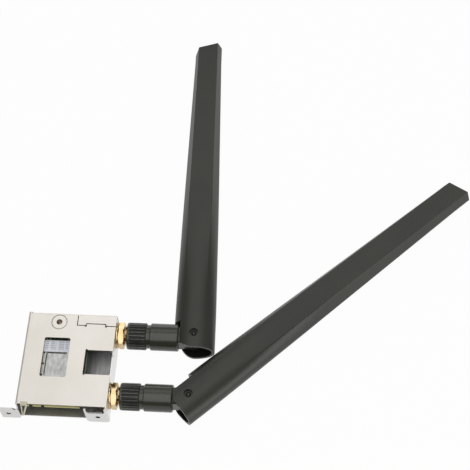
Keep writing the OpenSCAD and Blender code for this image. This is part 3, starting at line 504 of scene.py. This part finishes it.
def paper(box_low, box_high):
    finish = Finish("label", (0.60, 0.61, 0.64), roughness=0.75)
    finish.colour(finish.noise(1500), (0.74, 0.76, 0.80), (0.83, 0.85, 0.89))
    depth = finish.math("SUBTRACT", box_high[1], finish.axis("Y"))
    step = finish.math("MODULO", depth, 0.72 * MM)
    bar = finish.math("MULTIPLY", finish.math("GREATER_THAN", step, 0.34 * MM),
                      finish.math("LESS_THAN", depth, 3.4 * MM))
    ragged = finish.math("GREATER_THAN", finish.noise(650, stretch=(1, 0.02, 1), detail=1.0), 0.47)
    across = finish.math("GREATER_THAN", finish.axis("X"), box_low[0] + 4.2 * MM)
    mask = finish.math("MULTIPLY", finish.math("MULTIPLY", bar, ragged), across)
    finish.shade(mask, (0.60, 0.61, 0.66))
    finish.bump(finish.noise(4000), 0.004, 0.5)
    return finish.material


dress(laminate(), "card_board")
dress(paper(*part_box("card_label")), "card_label")

# %% [markdown]
# Gold over nickel is a mirror with a little waviness from the turning. Its colour comes only
# from what it reflects, so it is set deep and left shiny, and the dark room in front draws
# the brown bands on the nuts. The card's contacts are duller, thin plating on bare copper.

# %% Gold plate
def plain(name, low, high, roughness, scale, metallic=0.0, height_mm=0.003):
    finish = Finish(name, low, metallic=metallic)
    grain = finish.noise(scale)
    finish.colour(grain, low, high)
    finish.roughness(grain, roughness - 0.07, roughness + 0.07)
    finish.bump(grain, height_mm, 0.5)
    return finish.material


def gold_plate():
    finish = Finish("gold_plate", (1.0, 0.80, 0.50), metallic=1.0)
    cloud = finish.noise(400, detail=2.0)
    finish.colour(cloud, (0.52, 0.38, 0.19), (0.63, 0.49, 0.29))
    finish.roughness(cloud, 0.05, 0.14)
    finish.bump(finish.noise(500, detail=1.0), 0.003, 0.4)
    return finish.material


gold = gold_plate()
dress(plain("contact_gold", (0.85, 0.68, 0.26), (0.95, 0.80, 0.36), 0.42, 900, metallic=0.45),
      "edge_contacts")
dress(gold, *both("receptacle", "pigtail_plug", "jack", "jack_pin", "plug_contact",
                  "lock_washer", "hex_nut"))
print("gold plate on", len(both("jack")), "jacks")

# %% [markdown]
# The small parts inside are seldom seen, but each still gets the finish of its trade: cast
# chip bodies, ceramic blocks, waxy white insulators, turned brass, laminate and rubber. They
# differ in colour, grain and shine only, so the same function makes them all.

# %% Inner parts
dress(plain("chip", (0.02, 0.02, 0.02), (0.05, 0.05, 0.05), 0.5, 2500), "radio_chip")
dress(plain("small_parts", (0.30, 0.22, 0.14), (0.50, 0.42, 0.32), 0.45, 800), "card_parts")
dress(plain("insulator", (0.82, 0.82, 0.79), (0.90, 0.90, 0.87), 0.5, 900),
      *both("jack_insulator", "plug_insulator"))
dress(plain("brass", (0.68, 0.50, 0.24), (0.76, 0.58, 0.30), 0.28, 900, metallic=1.0),
      *both("plug_body"))
dress(plain("radiator_board", (0.45, 0.36, 0.14), (0.62, 0.48, 0.22), 0.4, 300),
      *both("radiator"))
lead_black = plain("lead_jacket", (0.018, 0.018, 0.018), (0.035, 0.035, 0.033), 0.42, 1500)
lead_pale = plain("lead_silver", (0.62, 0.62, 0.60), (0.75, 0.75, 0.73), 0.4, 1500)
dress(plain("spring_bronze", (0.48, 0.45, 0.34), (0.58, 0.54, 0.42), 0.38, 700, metallic=1.0),
      "ground_spring")
dress(lead_black, *both("crimp_sleeve", "pigtail"))
dress(lead_pale, *both("barrel_lead", "paddle_lead"))
print("inner parts dressed")

# %% [markdown]
# The antennas are moulded in black nylon with a fine matt grain. The black is a warm, slightly
# green grey, nearly dark by itself, and what is seen is mostly the soft gloss of the grain.
# The barrels come from a smoother mould, the coupling nuts are black plated metal that
# shines a little more, and the hinge pins are the darkest of all.

# %% Black parts
def moulded_black(name, gloss, rough_low, rough_high, grain_mm, tone):
    finish = Finish(name, (tone, tone, tone))
    finish.shader.inputs["Specular IOR Level"].default_value = gloss
    shades = [(tone * k, 1.06 * tone * k, 0.74 * tone * k) for k in (0.87, 1.13)]
    finish.colour(finish.noise(60, detail=2.0), *shades)
    grain = finish.noise(2600, detail=2.0)
    finish.roughness(grain, rough_low, rough_high)
    finish.bump(grain, grain_mm, 0.5)
    return finish.material


def black_plated():
    finish = Finish("black_metal", (0.03, 0.03, 0.027), metallic=0.4)
    finish.shader.inputs["Specular IOR Level"].default_value = 0.5
    wear = finish.noise(700)
    finish.colour(wear, (0.040, 0.040, 0.036), (0.075, 0.075, 0.067))
    finish.roughness(wear, 0.20, 0.32)
    finish.bump(wear, 0.005, 0.4)
    return finish.material


paddle_black = moulded_black("paddle_black", 0.50, 0.34, 0.46, 0.012, 0.022)
barrel_black = moulded_black("barrel_black", 0.50, 0.18, 0.28, 0.005, 0.034)
black_metal = black_plated()
# Painted shade: the nut's grooves take a near-black finish.
groove_black = plain("groove_black", (0.008, 0.008, 0.007), (0.014, 0.014, 0.012), 0.6, 900)
# Painted shade: the paddle's inward faces take a darker black.
core_black = moulded_black("core_black", 0.20, 0.60, 0.80, 0.012, 0.007)
dress(paddle_black, *both("paddle"))
dress(barrel_black, *both("barrel"))
dress(black_metal, *both("coupling_nut"))
dress(plain("pin_black", (0.010, 0.010, 0.009), (0.016, 0.016, 0.014), 0.30, 900),
      *both("hinge_pin"))
print("black parts dressed")

# %% [markdown]
# The turned and moulded parts that catch the light get finer meshes than the CAD's. Each is a
# skin: rings with equal numbers of points, joined by quads. A ring can be any shape, so the
# same few lines make a thread, ribs or a bevelled paddle. Lengths are in mm until the end.

# %% Skins
def skin(rings, endless=False):
    """Points and quads through the rings; endless joins the last ring to the first."""
    sides = len(rings[0])
    points = [p for ring in rings for p in ring]
    pairs = [(k, k + 1) for k in range(len(rings) - 1)]
    faces = []
    if endless:
        pairs.append((len(rings) - 1, 0))
    else:
        faces = [tuple(range(sides)), tuple(range(len(points) - sides, len(points)))]
    for a, b in pairs:
        faces += [(a * sides + i, a * sides + (i + 1) % sides,
                   b * sides + (i + 1) % sides, b * sides + i) for i in range(sides)]
    return points, faces


def add_mesh(name, points, faces):
    mesh = bpy.data.meshes.new(name)
    mesh.from_pydata(points, [], faces)
    shape = bmesh.new()
    shape.from_mesh(mesh)
    bmesh.ops.recalc_face_normals(shape, faces=shape.faces)
    shape.to_mesh(mesh)
    shape.free()
    piece = bpy.data.objects.new(name, mesh)
    bpy.context.collection.objects.link(piece)
    return piece


def turned(stations, sides, radius=None):
    """Rings round X at the stations (x, r). radius(x, r, angle) may change r."""
    rings = []
    for x, r in stations:
        ring = []
        for i in range(sides):
            angle = 2 * math.pi * i / sides
            reach = radius(x, r, angle) if radius else r
            ring.append((x, -reach * math.sin(angle), reach * math.cos(angle)))
        rings.append(ring)
    return rings


print("ring of a 6-sided test:", len(turned([(0, 1)], 6)[0]), "points")

# %% [markdown]
# A finished skin is scaled to metres, put on its axis, shaded smooth except at real edges,
# and stands for its CAD node on the same body. The axis of each jack and the hinge come from
# the boxes of the CAD's own parts, so nothing is placed by eye.

# %% Placing
def middle(node):
    low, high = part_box(node)
    return Vector([(a + b) / 2 for a, b in zip(low, high)])


def jack_axis(side):
    """Where the jack's axis leaves the cage's wall."""
    centre = middle(f"jack_pin_{side}")
    return Matrix.Translation((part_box(f"lock_washer_{side}")[0][0], centre.y, centre.z))


def settle(piece, node, place, material, sharp=32):
    mesh = piece.data
    mesh.transform(place @ Matrix.Scale(MM, 4))
    for face in mesh.polygons:
        face.use_smooth = True
    mesh.set_sharp_from_angle(angle=math.radians(sharp))
    mesh.materials.clear()
    mesh.materials.append(material)
    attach(piece, frame["nodes"][node].parent.name.split(":")[1])
    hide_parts(node)
    low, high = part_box(node)
    points = [v.co for v in mesh.vertices]
    grow = max(max(max(p[k] for p in points) - high[k], low[k] - min(p[k] for p in points))
               for k in range(3))
    print(f"{piece.name}: {len(mesh.polygons)} faces, {grow / MM:+.2f} mm past its CAD box")
    return piece


print("jack axes in mm:", [[round(v / MM, 2) for v in jack_axis(s).translation] for s in SIDES])

# %% [markdown]
# The lock washer is stamped, so its outer edge is slightly rounded. Its teeth are twelve
# slots in the inner edge, which a function of the angle cuts.

# %% Lock washers
def lock_washer(outer=4.5, inner=3.2, thick=0.6, slot_half=0.3, slot_depth=0.55):
    stations = [(0.0, outer - 0.25), (0.05, outer - 0.08), (0.16, outer), (thick - 0.16, outer),
                (thick - 0.05, outer - 0.08), (thick, outer - 0.25), (thick, inner), (0.0, inner)]

    def radius(x, r, angle):
        if r > inner:
            return r
        apart = (angle + math.pi / 12) % (math.pi / 6) - math.pi / 12
        return inner + slot_depth * (abs(apart) * inner < slot_half)

    return skin(turned(stations, 144, radius), endless=True)


for side in SIDES:
    settle(add_mesh(f"washer_{side}", *lock_washer()), f"lock_washer_{side}", jack_axis(side),
           gold)

# %% [markdown]
# The hex nut starts as a hexagon whose corners are turned off at both faces. At each point
# the radius is the smaller of the hexagon's and the cone's. A soft minimum of the two rounds
# their meeting a little, as plating over a turned edge does.

# %% Hex nuts
def soft_min(a, b, sharpness=70.0):
    return (a ** -sharpness + b ** -sharpness) ** (-1 / sharpness)


def hex_nut(x0=0.6, x1=2.7, flat_r=4.0, chamfer=0.35, bore=3.2):
    corner = flat_r / math.cos(math.pi / 6)
    steps = (0.0, 0.04, 0.1, 0.18, 0.26, 0.34, 0.42, 0.55)
    xs = [x0 + s for s in steps] + [(x0 + x1) / 2] + [x1 - s for s in reversed(steps)]
    stations = [(x, corner) for x in xs] + [(x1, bore + 0.2), (x1 - 0.2, bore),
                                            (x0 + 0.2, bore), (x0, bore + 0.2)]

    def radius(x, r, angle):
        if r < flat_r:
            return r
        flat = flat_r / math.cos(angle % (math.pi / 3) - math.pi / 6)
        rise = min(1.0, min(x - x0, x1 - x) / chamfer)
        cone = (flat_r - 0.12) + (corner + 0.1 - flat_r + 0.12) * rise
        return min(soft_min(flat, cone) * 1.004, flat, cone)

    return skin(turned(stations, 144, radius), endless=True)


for side in SIDES:
    settle(add_mesh(f"nut_{side}", *hex_nut()), f"hex_nut_{side}", jack_axis(side), gold,
           sharp=40)

# %% [markdown]
# The jack's barrel carries a fine thread of 36 turns an inch with one side filed flat. The
# CAD keeps it plain. Here the radius follows a triangle wave that slips one turn for each
# pitch along the axis, which is all a thread is, and points above the flat are pulled down.

# %% Threaded jacks
PITCH = 25.4 / 36


def threaded_jack(r=3.15, depth=0.33, thread_end=8.4, flat=2.85):
    xs = [-0.45 + 8.5 * k / 120 for k in range(121)]
    outer = [(-4.9, 1.8), (-2.1, 1.8), (-2.1, 3.9), (-2.0, 4.0), (-0.6, 4.0), (-0.5, 3.9),
             (-0.5, r), *[(x, r) for x in xs], (thread_end - 0.1, r - depth), (thread_end, 2.75)]
    inner = [(thread_end, 2.4), (thread_end - 0.1, 2.33), (6.5, 2.33), (6.5, 2.06),
             (-1.7, 2.06), (-1.7, 1.31), (-4.9, 1.31)]

    def radius(x, given, angle):
        if given != r or x <= -0.45:
            return given
        turn = (x / PITCH - angle / (2 * math.pi)) % 1.0
        reach = r - depth * min(1.0, abs(2 * turn - 1) * 1.15)
        top = reach * math.cos(angle)
        return reach if top <= flat else flat / math.cos(angle)

    return skin(turned(outer + inner, 72, radius), endless=True)


for side in SIDES:
    settle(add_mesh(f"threaded_jack_{side}", *threaded_jack()), f"jack_{side}", jack_axis(side),
           gold)

# %% [markdown]
# The coupling nut is gripped by its ribs. Each rib has a rounded top and the gaps between are
# flat, so a smooth step of the angle makes them. The plain rim at the front has no ribs, and
# both ends are rounded off as the turned part is. The faces in the gaps take a duller finish
# whose dark colour is painted shade in the grooves.

# %% Coupling nuts
def smooth_step(value, start, end):
    t = min(1.0, max(0.0, (value - start) / (end - start)))
    return t * t * (3 - 2 * t)


def coupling_nut(r=4.65, x0=3.6, x1=10.2, ribs=24, depth=0.34):
    outer = [(x0, r - 0.3), (x0 + 0.06, r - 0.12), (x0 + 0.18, r - 0.03), (x0 + 0.35, r),
             (x0 + 0.75, r), (x0 + 0.88, r - 0.03), (x0 + 0.95, r), (x0 + 1.1, r), (x0 + 3, r),
             (x1 - 1.5, r), (x1 - 0.35, r), (x1 - 0.15, r - 0.04), (x1 - 0.05, r - 0.14), (x1, r - 0.34)]
    inner = [(x1, 2.65), (9.5, 2.65), (9.5, 3.2), (x0 + 0.15, 3.2), (x0, 3.35)]

    def radius(x, given, angle):
        if given < 4 or x < x0 + 0.8:
            return given
        phase = (angle * ribs / (2 * math.pi)) % 1.0 - 0.5
        gap = smooth_step(abs(phase), 0.15, 0.27)
        return given - depth * gap * smooth_step(x, x0 + 0.8, x0 + 1.05)

    return skin(turned(outer + inner, ribs * 14, radius), endless=True)


for side in SIDES:
    piece = settle(add_mesh(f"ribbed_nut_{side}", *coupling_nut()), f"coupling_nut_{side}",
                   jack_axis(side), black_metal)
    axis = jack_axis(side).translation
    # Painted shade: the groove faces take the near-black finish.
    piece.data.materials.append(groove_black)
    for face in piece.data.polygons:
        out = (Vector(face.center) - axis).yz.length / MM
        face.material_index = 1 if 4 < out < 4.42 and face.normal.yz.length > 0.7 else 0
    print("faces in the grooves:", sum(f.material_index for f in piece.data.polygons))

# %% [markdown]
# The paddle changes its section along its length: an ellipse at the hinge turns into a
# rectangle with bevelled long edges at the tip. It could be a subdivided box, but a formula
# keeps both ends exact. Each ring mixes the two shapes, and a soft minimum rounds the edges.

# %% Paddle's section
BASE_HALF, BASE_THICK = 7.1, 5.25
PADDLE_L, TIP_AT = 125.9, 119.9
SPREAD = (0.0, 0.08, 0.22, 0.5, 0.78, 0.92)


def ramp(s, a, b):
    return min(1.0, max(0.0, (s - a) / (b - a)))


def section_at(s, inset=0.0):
    """One ring of the paddle at s mm from the hinge, as points (s, across, up)."""
    w = BASE_HALF - 0.5 * ramp(s, 9, 45) - 1.55 * ramp(s, 45, TIP_AT) - inset
    t = BASE_THICK - 1.75 * ramp(s, 18, TIP_AT) - inset
    b = 2.2 - 0.8 * ramp(s, 60, TIP_AT)
    d = t - 0.3
    m = ramp(s, 18, 60)
    low, high = math.degrees(math.atan(0.3 / t)), math.degrees(math.atan(w / (w - b)))
    marks = [0, 15 + m * (low - 15), 30 + m * (low + (high - low) / 3 - 30),
             45 + m * (low + (high - low) * 2 / 3 - 45), 60 + m * (high - 60),
             75 + m * ((high + 90) / 2 - 75), 90]
    ring = []
    for quarter in range(4):
        order = range(6) if quarter % 2 == 0 else range(5, -1, -1)
        for i in order:
            steps = [1 - f for f in SPREAD] if quarter % 2 else SPREAD
            for f in steps:
                a = math.radians(marks[i] + f * (marks[i + 1] - marks[i]))
                c, n = max(math.cos(a), 1e-6), max(math.sin(a), 1e-6)
                slope = (w / b + t / d - 1) / (c * w / b + n * t / d)
                reach = soft_min(soft_min(1 / c, 1 / n, 120.0), slope, 120.0)
                k = 1 - m + m * reach
                across, up = ((1, 1), (-1, 1), (-1, -1), (1, -1))[quarter]
                ring.append((s, across * k * w * c, up * k * t * n))
    return ring


print("points in a ring of the paddle:", len(section_at(0)))

# %% [markdown]
# The slot for the barrel, the cleared edges round the hinge, the pin's counterbores and the
# slanted tip are cuts in that skin, as a mould's inserts would make them. Boolean modifiers
# do this on exact solids, and the result is kept as a plain mesh. The faces that look
# inwards were drawn off the mould's core, which leaves them duller, and their darker colour
# is painted shade inside the hollow paddle.

# %% Cutting tools
def carve(piece, tool, operation="DIFFERENCE"):
    step = piece.modifiers.new("cut", "BOOLEAN")
    step.operation = operation
    step.solver = "EXACT"
    step.object = tool
    graph = bpy.context.evaluated_depsgraph_get()
    result = bpy.data.meshes.new_from_object(piece.evaluated_get(graph))
    piece.modifiers.clear()
    piece.data = result
    bpy.data.objects.remove(tool)


def prism(outline, z0, z1):
    """A solid from an outline in (s, across), between two heights."""
    return add_mesh("tool", *skin([[(s, n, z) for s, n in outline] for z in (z0, z1)]))


def post(stations, sides=48):
    """A round tool about the pin's axis, at stations (z, r)."""
    rings = [[(r * math.cos(2 * math.pi * i / sides), r * math.sin(2 * math.pi * i / sides), z)
              for i in range(sides)] for z, r in stations]
    return add_mesh("tool", *skin(rings))


TIP_OUTLINE = [(-30, -20), (113.8, -20), (113.8, -5.25), (125.7, -5.05), (125.9, -3.55),
               (123.82, 3.55), (121.92, 5.05), (113.8, 5.25), (113.8, 20), (-30, 20)]
CLEAR_R, CLEAR_N, SLOT_END, SLOT_HALF = 5.25, 4.85, 5.2, 3.2
start = math.degrees(math.asin(CLEAR_N / CLEAR_R))
arc = [math.radians(start * (1 - k / 16)) for k in range(17)]
EDGE_OUTLINE = ([(SLOT_END, CLEAR_N)] + [(-CLEAR_R * math.cos(a), CLEAR_R * math.sin(a)) for a in arc]
                + [(-9, 0), (-9, 15), (SLOT_END, 15)])
print("corners in the tip's outline:", len(TIP_OUTLINE))

# %% Paddle mesh
WALL, CORE_END = 1.0, 117.9
BOSS_R, BOSS_Z = 2.6, (3.6, 4.62)
PIN_R, COUNTERBORE_R, COUNTERBORE_Z = 0.91, 1.55, 4.35
FAR = 15


def paddle_mesh():
    stations = [-5.25, -2.5, 0, 4, 8, 12, 16, 20, 25, 30, 36, 42, 48, 54, 60, 75, 90, 105, 118]
    shell = add_mesh("paddle_shell", *skin([section_at(s) for s in stations + [PADDLE_L]]))
    carve(shell, prism(TIP_OUTLINE, -FAR, FAR), "INTERSECT")
    core = [-6.5] + stations[1:-1] + [CORE_END]
    carve(shell, add_mesh("tool", *skin([section_at(s, WALL) for s in core])))
    for sign in (1, -1):
        carve(shell, post([(sign * z, BOSS_R) for z in BOSS_Z]), "UNION")
    slot = [(-9, 0), (SLOT_END, 0), (SLOT_END, FAR), (-9, FAR)]
    carve(shell, prism(slot, -SLOT_HALF, SLOT_HALF))
    carve(shell, prism(EDGE_OUTLINE, -FAR, FAR))
    pin_hole = [(-9, COUNTERBORE_R), (-COUNTERBORE_Z, COUNTERBORE_R), (-COUNTERBORE_Z, PIN_R)]
    pin_hole += [(-z, r) for z, r in reversed(pin_hole)]
    carve(shell, post(pin_hole))
    return shell


shell = paddle_mesh()
core_faces = [face.index for face in shell.data.polygons
              if face.normal.yz.dot(face.center.yz) < -0.5 and abs(face.normal.x) < 0.5]
print("paddle faces:", len(shell.data.polygons), "inside:", len(core_faces))

# %% [markdown]
# Both paddles are the same moulding, turned about their hinges by the angles of the picture.

# %% Paddles
FOLD = {"rear": 92.0, "front": 43.1}


def hinge_place(side):
    return (Matrix.Translation(middle(f"hinge_pin_{side}"))
            @ Matrix.Rotation(math.radians(FOLD[side]), 4, "Z"))


for side in SIDES:
    piece = bpy.data.objects.new(f"paddle_shell_{side}", shell.data.copy())
    bpy.context.collection.objects.link(piece)
    settle(piece, f"paddle_{side}", hinge_place(side), paddle_black, sharp=24)
    # Painted shade inside the hollow paddle, on its inward faces.
    piece.data.materials.append(core_black)
    for index in core_faces:
        piece.data.polygons[index].material_index = 1
bpy.data.objects.remove(shell)
